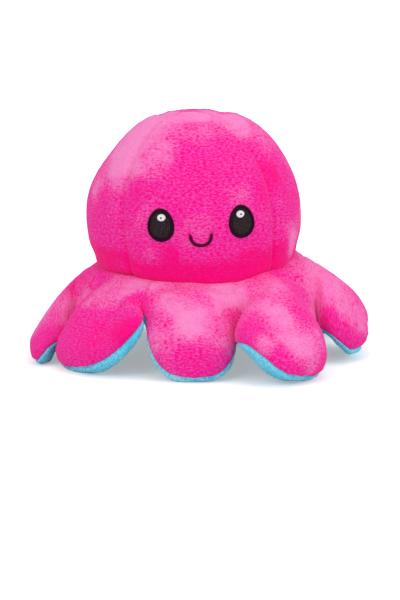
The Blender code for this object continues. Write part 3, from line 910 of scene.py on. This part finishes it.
# lines across the tentacle, in distance sideways, outwards and up
def tentacleLine(row, index, swing, side):
    tentacle = list(tentacles.values())[index]
    shape = tentacleShape
    topOut, topUp, underOut, underUp, width, seam = shape["stations"][row]
    length = shape["length"] * tentacle["length"]
    top = np.array([0, shape["foldRadius"] + length * topOut, shape["foldHeight"] * topUp])
    under = np.array([0, shape["foldRadius"] + length * underOut, shape["underHeight"] * underUp])
    middle = under + (top - under) * seam
    web = shape["webThickness"] if row == 0 else 0.0
    widen = np.where(swing < 0, *tentacle["widen"])
    part = row / len(shape["stations"])
    widen = widen * (1 + np.where(swing < 0, *tentacle["shoulders"]) * shoulderFade[row])
    narrow = 1 - (1 - tentacle["tipWidth"]) * part**2.5
    width = (shape["halfWidth"] * width * widen * narrow)[:, None]
    if row == 0:
        width = shape["foldRadius"] * math.tan(math.pi / len(tentacles))
    lean = np.array([tentacle["lean"] * part**0.7, 0, 0])
    end = top if side > 0 else under
    turn = math.radians(tentacle["roll"]) * part**1.3
    upright = (top - under) / np.linalg.norm(top - under)
    lift = upright * math.cos(turn) - np.array([math.sin(turn), 0, 0])
    sideways = upright * math.sin(turn) + np.array([math.cos(turn), 0, 0])
    below = np.linalg.norm(middle - under)
    reach = np.max(width) * math.sin(turn)
    raised = math.hypot(reach, below * math.cos(turn)) - below * math.cos(turn)
    height = np.linalg.norm(end - middle) * side
    middle = middle + np.array([0, 0, raised + tentacle["tipRise"] * part**2]) + lean
    swell = np.sqrt(1 - (1 - web**2) * swing**2)[:, None]
    line = middle + sideways * width * swing[:, None] + lift * height * swell
    line[:, 2] -= seamDrop(index, swing) * notchFade[row] * (1 - swell[:, 0])
    rise = np.where(swing < 0, *tentacle["seamRise"]) * seamRiseShares[row]
    line[:, 2] += rise * swing**4
    return line


def tipLine(index, swing):
    shape = tentacleShape
    tentacle = list(tentacles.values())[index]
    out, up = shape["tip"]
    last = len(shape["stations"]) - 1
    ends = tentacleLine(last, index, np.array([-1.0, 1.0]), 1).mean(axis=0)
    seam = shape["underHeight"] * shape["stations"][last][3]
    seam = mix(seam, shape["foldHeight"] * shape["stations"][last][1], shape["stations"][last][5])
    tip = np.array([tentacle["lean"], shape["foldRadius"] + shape["length"] * tentacle["length"] * out,
                    shape["foldHeight"] * up + ends[2] - seam])
    return np.repeat(tip[None, :], len(swing), axis=0)


# the top and the underside of one tentacle with its part of the skirt
def tentaclePoints(index):
    shape = tentacleShape
    swing = placesAcross()
    stations = range(len(shape["stations"]))
    knots = []
    for side, shares in ((1, (0.0, 0.10, 0.30, 0.60)), (-1, (0.0, 0.25, 0.50, 0.75))):
        lines = [skirtLine(index, share, swing, side) for share in shares]
        lines += [tentacleLine(row, index, swing, side) for row in stations]
        knots.append(np.array(lines + [tipLine(index, swing)]))
    turn = len(shares)
    steps = [knotSteps(lines) for lines in knots]
    beyond = (steps[0][turn:] + steps[1][turn:]) / 2
    azimuth = tentacleAzimuth(index)
    sideways = np.array([math.cos(azimuth), math.sin(azimuth), 0])
    outward = np.array([math.sin(azimuth), -math.cos(azimuth), 0])
    grids = []
    for lines, step in zip(knots, steps):
        step[turn:] = beyond
        local = smoothRows(lines, step, turn, shape["skirtRows"], shape["rows"])
        points = local[..., :1] * sideways + local[..., 1:2] * outward
        points[..., 2] = np.maximum(local[..., 2], 0)
        grids.append(points)
    top, under = grids
    row = shape["skirtRows"]
    for edge, sign in ((0, -1), (-1, 1)):
        fade = np.clip((sign * swing - 0.8) / 0.2, 0, 1)[None, :, None]
        under[row:] += (top[row:, edge] - under[row:, edge])[:, None] * fade
    return top, under


# the seam round each tentacle gets the same outward direction in its top and its underside
def joinSeams(tops, unders, row):
    for top, under in zip(tops, unders):
        for edge in (0, -1):
            shared = top[row:, edge] + under[row:, edge]
            size = np.linalg.norm(shared, axis=-1, keepdims=True)
            shared = shared / np.maximum(size, noLength)
            top[row:, edge] = shared
            under[row:, edge] = shared
        shared = top[-1].mean(axis=0) + under[-1].mean(axis=0)
        top[-1] = under[-1] = shared / np.linalg.norm(shared)


def makeTentacles():
    shape = tentacleShape
    pairs = [tentaclePoints(index) for index in range(len(tentacles))]
    grids = [[pair[0] for pair in pairs], [pair[1] for pair in pairs]]
    fold = shape["skirtRows"]
    beyond = np.arange(grids[0][0].shape[0]) - fold
    sewn = np.clip(beyond / shape["sewingRows"], 0, 1)[:, None]
    held = np.zeros(grids[0][0].shape[:2])
    held[fold:, [0, -1]] = 1
    held[:shape["heldRows"]] = 1
    held[-1] = 1
    nearTip = np.clip(1 - (beyond[-1] - beyond) / shape["calmRows"], 0, 1)[:, None]
    loose = (1 - nearTip) * np.where(beyond[:, None] > 0, 1 - placesAcross()**6, 1)
    normals = []
    for place, side in ((0, 1), (1, -1)):
        joinSides(grids[place], fold + 1)
        grids[place] = stuffedGrids(grids[place], held, loose, side, shape["stuffingSteps"],
                                    shape["stuffingFarthest"])
        normals.append([gridNormals(points) * side for points in grids[place]])
        joinSides(normals[place], fold + 1)
    joinSeams(normals[0], normals[1], fold)
    # painted light and painted shade: pale on the skirt near the head, deeper in colour toward the
    # tips
    share = np.linspace(0, 1, len(held))[:, None]
    kept = shape["paleShare"]
    pileAndShade = shape["pileAndLightLevel"] - shape["shadeTowardTips"] * np.clip((share - kept) / (1 - kept), 0, 1)
    seams = ("left", "right", "first")
    for index, name in enumerate(tentacles):
        words = "tentacle" + "".join(word.capitalize() for word in name.split("_"))
        body = "tentacle_" + name
        top = clothPiece(words + "Top", grids[0][index], seams, 1, pinkPlush,
                         normals=normals[0][index], sideSeam=sewn, pileAndShade=pileAndShade)[0]
        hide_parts("skirt_upper_skin", "skirt_filling", body + "_upper_skin",
                    body + "_filling")
        under = clothPiece(words + "Under", grids[1][index], seams, -1, bluePlush,
                           normals=normals[1][index], sideSeam=sewn,
                           pileAndShade=shape["underPileLevel"])[0]
        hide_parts("skirt_under_skin", body + "_under_skin")
        for piece in (top, under):
            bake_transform(piece)


makeTentacles()
print("tentacles made")


# the blue head, pushed up inside the pink one
pocketShape = {
    "radius": 0.0290,
    "widestHeight": 0.0660,
    "topHeight": 0.0950,
    "foldDepth": 0.0016,
    "folds": 5,
    "panels": ("front", "right", "back", "left"),
    "columns": 40,
    "rows": 64,
}


def makePocket():
    shape = pocketShape
    half = math.pi / len(shape["panels"])
    dome = shape["radius"] * math.pi / 2
    wall = shape["widestHeight"] - tentacleShape["mouthHeight"]
    sewnGrids = []
    for index, side in enumerate(shape["panels"]):
        azimuth = 2 * half * index + np.linspace(-half, half, shape["columns"] + 1)[None, :]
        place = np.linspace(0, 1, shape["rows"] + 1)[:, None] * (dome + wall)
        angle = np.clip(place / dome, 0, 1) * math.pi / 2
        drop = np.clip((place - dome) / wall, 0, 1)
        height = shape["widestHeight"] + (shape["topHeight"] - shape["widestHeight"]) * np.cos(angle)
        height = height - wall * drop
        radius = shape["radius"] * np.sin(angle)
        radius = radius + (tentacleShape["mouthRadius"] - shape["radius"]) * drop**2
        calm = ((1 - np.cos(azimuth)) / 2) ** 0.7
        fold = np.sin(azimuth * shape["folds"]) * np.sin(angle) * (1 - drop) ** 0.5
        points = atAzimuth(radius + shape["foldDepth"] * fold * calm, azimuth, height)
        name = "pocket" + side.capitalize() + "Cloth"
        piece, sewn = clothPiece(name, points, ("left", "right", "last"), -1, bluePlush,
                                 np.ones(points.shape[:2]))
        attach(piece, toyBody)
        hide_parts("pocket_" + side + "_panel")
        sewnGrids.append(sewn)
    return sewnGrids


pocketGrids = makePocket()
print("pocket made")


# the cloth that a face is stitched on: distance sideways, height, and lift off the cloth
def stitchGround(grids, radius, facing):
    corners = np.array(grids).reshape(-1, 3)
    tree = BVHTree.FromPolygons(corners.tolist(), ringFaces(grids, 1).tolist())

    def ground(sideways, height, lift):
        sideways, height, lift = np.broadcast_arrays(sideways, height, lift)
        points = np.empty(sideways.shape + (3,))
        for place in np.ndindex(sideways.shape):
            azimuth = sideways[place] / radius
            outward = Vector((math.sin(azimuth), -math.cos(azimuth), 0))
            start = Vector((0, 0, height[place]))
            hit = tree.ray_cast(start, outward)[0]
            if hit is None:  # between two panels
                hit = tree.find_nearest(start + outward * radius)[0]
            points[place] = hit + outward * float(lift[place]) * facing
        return points

    return ground


onHead = stitchGround(headGrids, headShape["radius"], 1)
onPocket = stitchGround(pocketGrids, pocketShape["radius"], -1)


def stitchPiece(name, points, uv, outside, thread, node):
    piece = meshFromGrid(name, points, {"cloth": uv}, outside)
    piece.data.materials.append(threads[thread])
    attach(piece, toyBody)
    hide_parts(node)


# a filled shape: rings from its middle to its edge, which sinks into the pile
patchSize = {"rings": 18, "points": 73, "edgePower": 8, "edgeSlope": 0.999}


def stitchPatch(name, outline, cloth, rise, thread, node, outside):
    size = patchSize
    edge = outline(np.linspace(0, math.tau, size["points"]))
    middle = edge[:-1].mean(axis=0)
    share = np.sin(np.linspace(0, 1, size["rings"] + 1) * math.pi / 2)[:, None]
    flat = middle + (edge - middle)[None] * share[..., None]
    low, high = rise
    lift = low + (high - low) * np.sqrt(1 - share ** size["edgePower"] * size["edgeSlope"])
    points = cloth(flat[..., 0], flat[..., 1], lift)
    stitchPiece(name, points, flat, outside, thread, node)


# a raised line of satin stitches that follows a curve on the cloth
def stitchBand(name, line, halfWidth, closed, cloth, rise, thread, node, outside):
    step = np.gradient(line, axis=0)
    if closed:
        step[0] = step[-1] = line[1] - line[-2]
    step = step / np.linalg.norm(step, axis=1, keepdims=True)
    sideways = np.stack([-step[:, 1], step[:, 0]], axis=-1)
    turn = np.linspace(0, math.pi, 11)[None, :]
    halfWidth = np.broadcast_to(halfWidth, len(line))[:, None]
    flat = line[:, None] + sideways[:, None] * (halfWidth * np.cos(turn))[..., None]
    low, high = rise
    lift = (low + (high - low) * np.sin(turn)) * (halfWidth / halfWidth.max()) ** 0.5
    points = cloth(flat[..., 0], flat[..., 1], lift)
    run = runLengths(line, 0)[:, None]
    uv = np.stack(np.broadcast_arrays(run, halfWidth * np.cos(turn)), axis=-1)
    stitchPiece(name, points, uv, outside, thread, node)


# an oval on the cloth, narrower upward by its taper; a lid cuts some of its top off at a slope
def oval(middle, halfWidth, halfHeight, taper=0.0, lid=(0.0, 0.0)):
    def outline(angles):
        x = np.cos(angles)
        y = np.sin(angles)
        y = np.where(y > 0, y * (1 - lid[0] + lid[1] * x), y)
        return np.stack([middle[0] + x * halfWidth * (1 - taper * y), middle[1] + y * halfHeight], -1)

    return outline


# an eye's filling, its rim and its glint
def stitchEye(names, egg, glint, face, cloth, rimThread, node, outside):
    stitchPatch(names[0], egg, cloth, face["eyeRise"], "blackThread", node, outside)
    stitchBand(names[1], egg(np.linspace(0, math.tau, 97)), face["rimHalfWidth"], True, cloth,
               face["lineRise"], rimThread, node, outside)
    stitchPatch(names[2], glint, cloth, face["glintLift"], "whiteThread",
                node + "_highlight", outside)


# a mouth: an arc that hangs down by its depth and gets thin at its ends
def stitchMouth(name, mouth, face, cloth, thread):
    angle = np.linspace(0, math.pi, mouth["points"])
    across = np.sign(np.cos(angle)) * np.abs(np.cos(angle)) ** mouth["widthPower"]
    line = np.stack([mouth["middle"] - mouth["halfWidth"] * across,
                     mouth["height"] - mouth["depth"] * np.sin(angle) ** mouth["depthPower"]], -1)
    length, least, power = mouth["ends"]
    ends = np.clip(np.minimum(angle, math.pi - angle) / length, least, 1) ** power
    stitchBand(name, line, mouth["lineHalfWidth"] * ends, False, cloth, face["lineRise"],
               thread, name, 1)


# the happy face on the pink side
happyFace = {
    "eyeHalfWidth": 0.0071,
    "eyeHalfHeight": 0.0088,
    "eyeTaper": 0.10,
    "eyes": (("Left", -0.0232, 0.0871, 0.0009), ("Right", 0.0243, 0.0859, -0.0009)),
    "eyeRise": (-0.0010, 0.0009),
    "rimHalfWidth": 0.0010,
    "lineRise": (-0.0006, 0.0014),
    "glintHalfWidth": 0.0025,
    "glintHalfHeight": 0.0021,
    "glintRise": 0.0045,
    "glintLift": (0.0004, 0.0016),
    "glintDot": 0.0006,
    "glintDotLift": (0.0012, 0.0018),
    "mouth": {"middle": -0.0003, "height": 0.0811, "halfWidth": 0.0061, "widthPower": 0.8,
              "depth": 0.0068, "depthPower": 0.9, "lineHalfWidth": 0.0010,
              "ends": (0.25, 0.25, 0.3), "points": 49},
}


def makeHappyFace():
    face = happyFace
    for word, sideways, height, glintIn in face["eyes"]:
        node = "eye_" + word.lower()
        egg = oval((sideways, height), face["eyeHalfWidth"], face["eyeHalfHeight"], face["eyeTaper"])
        middle = (sideways + glintIn, height + face["glintRise"])
        glint = oval(middle, face["glintHalfWidth"], face["glintHalfHeight"])
        dot = oval(middle, face["glintDot"], face["glintDot"])
        names = ("eye" + word, "eyeRim" + word, "glint" + word)
        stitchEye(names, egg, glint, face, onHead, "rimThread", node, -1)
        # painted shade: a grey dot stands for the hole in the glint's middle
        stitchPatch("glintDot" + word, dot, onHead, face["glintDotLift"], "glintHoleShade",
                    node + "_highlight", -1)
    stitchMouth("smile", face["mouth"], face, onHead, "burgundyThread")


makeHappyFace()
print("happy face stitched")


# the cross face on the blue side
crossFace = {
    "eyeHalfWidth": 0.0080,
    "eyeHalfHeight": 0.0094,
    "eyeTaper": 0.14,
    "eyeSpacing": 0.0248,
    "eyeHeight": 0.0680,
    "eyeRise": (-0.0006, 0.0010),
    "lidCut": 0.45,
    "lidSlope": 0.35,
    "rimHalfWidth": 0.0010,
    "lineRise": (-0.0005, 0.0014),
    "glintRadius": 0.0024,
    "glintLift": (0.0004, 0.0017),
    "mouth": {"middle": 0.0, "height": 0.0600, "halfWidth": 0.0045, "widthPower": 1,
              "depth": -0.0035, "depthPower": 1, "lineHalfWidth": 0.00085,
              "ends": (0.16, 0.05, 0.5), "points": 41},
}


def makeCrossFace():
    face = crossFace
    for word, side in (("Left", -1), ("Right", 1)):
        middle = (side * face["eyeSpacing"], face["eyeHeight"])
        egg = oval(middle, face["eyeHalfWidth"], face["eyeHalfHeight"], face["eyeTaper"],
                   (face["lidCut"], face["lidSlope"] * side))
        glint = oval(middle, face["glintRadius"], face["glintRadius"])
        names = ("crossEye" + word, "crossEyeRim" + word, "crossGlint" + word)
        stitchEye(names, egg, glint, face, onPocket, "navyThread", "cross_eye_" + word.lower(), 1)
    stitchMouth("frown", face["mouth"], face, onPocket, "navyThread")


makeCrossFace()
print("cross face stitched")


# pale floor, backdrop and plain soft light
studio = {
    "floorColour": (0.86, 0.86, 0.86, 1),
    "floorRoughness": 0.9,
    "floorReach": 6.0,
    "whiteNear": 0.34,
    "whiteStart": 0.22,
    "whiteEnd": 1.2,
    "worldLight": 0.72,
    "lamps": (
        ("topLamp", (0.1, -0.1, 1.5), (0, 0, 0.05), 1.2, 5.5),
        ("keyLamp", (-0.9, -1.3, 1.1), (0, 0, 0.06), 0.9, 6.0),
        ("fillLamp", (1.2, -1.0, 0.7), (0, 0, 0.06), 0.9, 4.5),
    ),
}


# 1 for rays that show a thing to the eye, 0 for those that light it
def seenMask(tree):
    rays = tree.nodes.new("ShaderNodeLightPath").outputs
    seen = addMath(tree, "MAXIMUM", rays["Is Camera Ray"], rays["Is Glossy Ray"])
    return addMath(tree, "MAXIMUM", seen, rays["Is Transmission Ray"])


def makeFloor():
    mesh = bpy.data.meshes.new("floor")
    reach = studio["floorReach"]
    corners = [(-reach, -reach, 0), (reach, -reach, 0), (reach, reach, 0), (-reach, reach, 0)]
    mesh.from_pydata(corners, [], [(0, 1, 2, 3)])
    material = bpy.data.materials.new("paleFloor")
    material.use_nodes = True
    tree = material.node_tree
    place = tree.nodes.new("ShaderNodeTexCoord").outputs["Object"]
    distance = addNode(tree, "VectorMath", {0: place}, operation="LENGTH").outputs["Value"]
    far = addRange(tree, distance, studio["whiteStart"], studio["whiteEnd"], studio["whiteNear"], 1.0)
    looks = {
        "Base Color": studio["floorColour"],
        "Roughness": studio["floorRoughness"],
        "Specular IOR Level": 0.0,
        "Emission Color": (1, 1, 1, 1),
        "Emission Strength": addMath(tree, "MULTIPLY", seenMask(tree), far),
    }
    for label, value in looks.items():
        feed(tree, tree.nodes["Principled BSDF"].inputs[label], value)
    mesh.materials.append(material)
    addObject("floor", mesh)


def makeWorld():
    world = bpy.data.worlds.new("studio")
    world.use_nodes = True
    tree = world.node_tree
    background = tree.nodes["Background"].inputs
    feed(tree, background["Color"], (1, 1, 1, 1))
    strength = addRange(tree, seenMask(tree), 0, 1, studio["worldLight"], 1.0)
    feed(tree, background["Strength"], strength)
    bpy.context.scene.world = world


def makeLamp(name, place, aim, size, power):
    data = bpy.data.lights.new(name, "AREA")
    data.shape = "SQUARE"
    data.size = size
    data.energy = power
    lamp = addObject(name, data)
    lamp.location = place
    lamp.rotation_euler = (Vector(aim) - Vector(place)).to_track_quat("-Z", "Y").to_euler()


makeFloor()
makeWorld()
for lamp in studio["lamps"]:
    makeLamp(*lamp)
bpy.context.scene.view_settings.view_transform = "Standard"
print("studio made")
